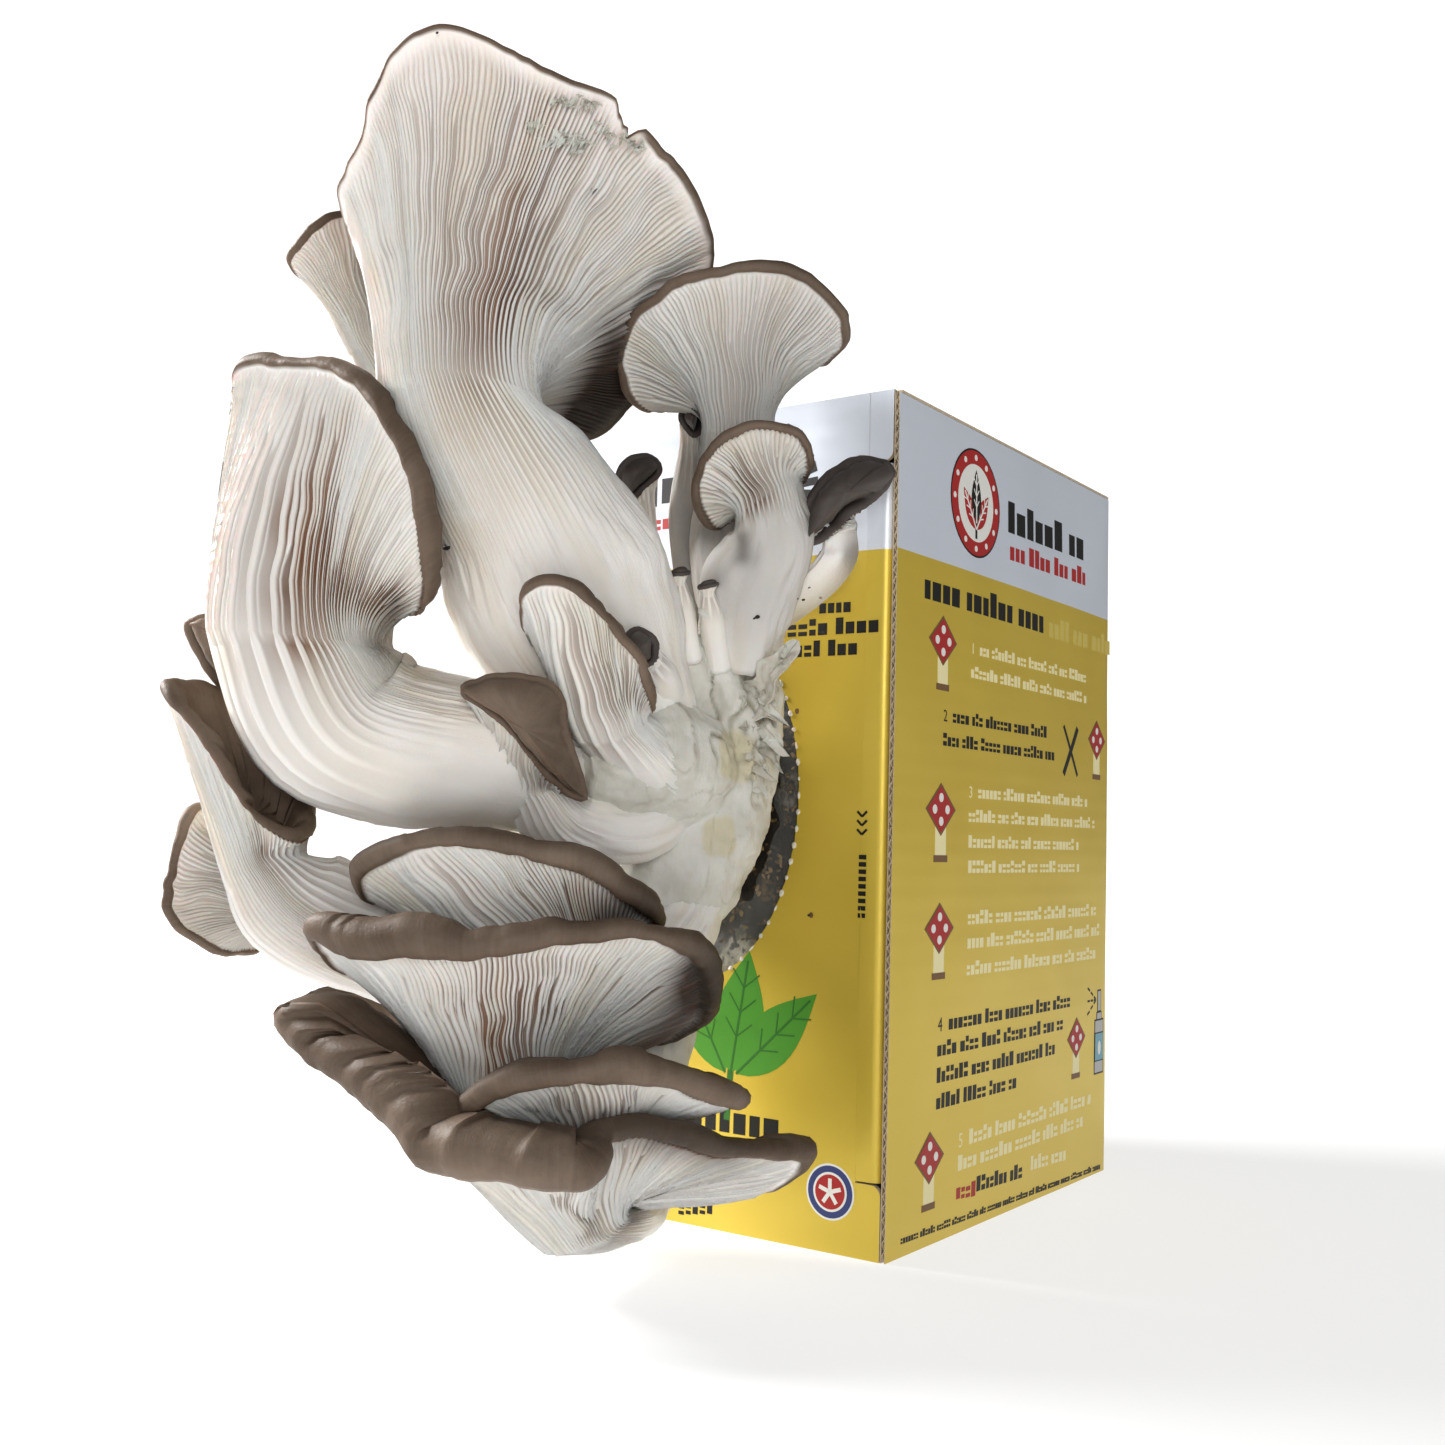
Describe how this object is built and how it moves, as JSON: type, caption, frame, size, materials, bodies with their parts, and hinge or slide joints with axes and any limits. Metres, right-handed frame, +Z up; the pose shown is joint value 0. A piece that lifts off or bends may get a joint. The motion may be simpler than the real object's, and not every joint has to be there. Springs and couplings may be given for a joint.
{
  "type": "oyster mushroom grow kit",
  "caption": "Upright printed carton holding a bagged block of sawdust, with a large cluster of gilled oyster mushrooms grown out of the oval window in its front.",
  "frame": {"origin": "centre of the carton's bottom face, on the surface it stands on", "axes": "+Z up, -Y out of the front that carries the window and the mushrooms, +X to the side panel that carries the instructions"},
  "size_m": [0.1773, 0.3112, 0.3187],
  "materials": {
    "printed_board": "satin",
    "clear_film": "gloss",
    "sawdust": "matte",
    "pale_flesh": "matte",
    "gilled_flesh": "matte",
    "brown_cap_flesh": "matte",
    "dark_cap_flesh": "matte"
  },
  "bodies": {
    "root": {"carton": "printed_board", "grow_bag": "clear_film", "substrate_block": "sawdust", "cluster_base": "pale_flesh", "giant_mushroom": "gilled_flesh", "giant_back_lobe": "gilled_flesh", "left_upper_mushroom": "gilled_flesh", "left_tip_mushroom": "brown_cap_flesh", "left_middle_mushroom": "gilled_flesh", "left_lower_mushroom": "gilled_flesh", "bottom_back_mushroom": "brown_cap_flesh", "upper_shelf_mushroom": "gilled_flesh", "middle_shelf_mushroom": "gilled_flesh", "lower_shelf_mushroom": "gilled_flesh", "bottom_mushroom": "gilled_flesh", "centre_mushroom": "gilled_flesh", "brown_cap_mushroom": "brown_cap_flesh", "grey_tip_mushroom": "dark_cap_flesh", "trumpet_mushroom": "gilled_flesh", "right_small_mushroom": "gilled_flesh", "right_dark_mushroom": "dark_cap_flesh", "knob_mushroom": "dark_cap_flesh", "band_pin": "dark_cap_flesh", "twin_pin_left": "gilled_flesh", "twin_pin_right": "gilled_flesh"}
  },
  "joints": []
}
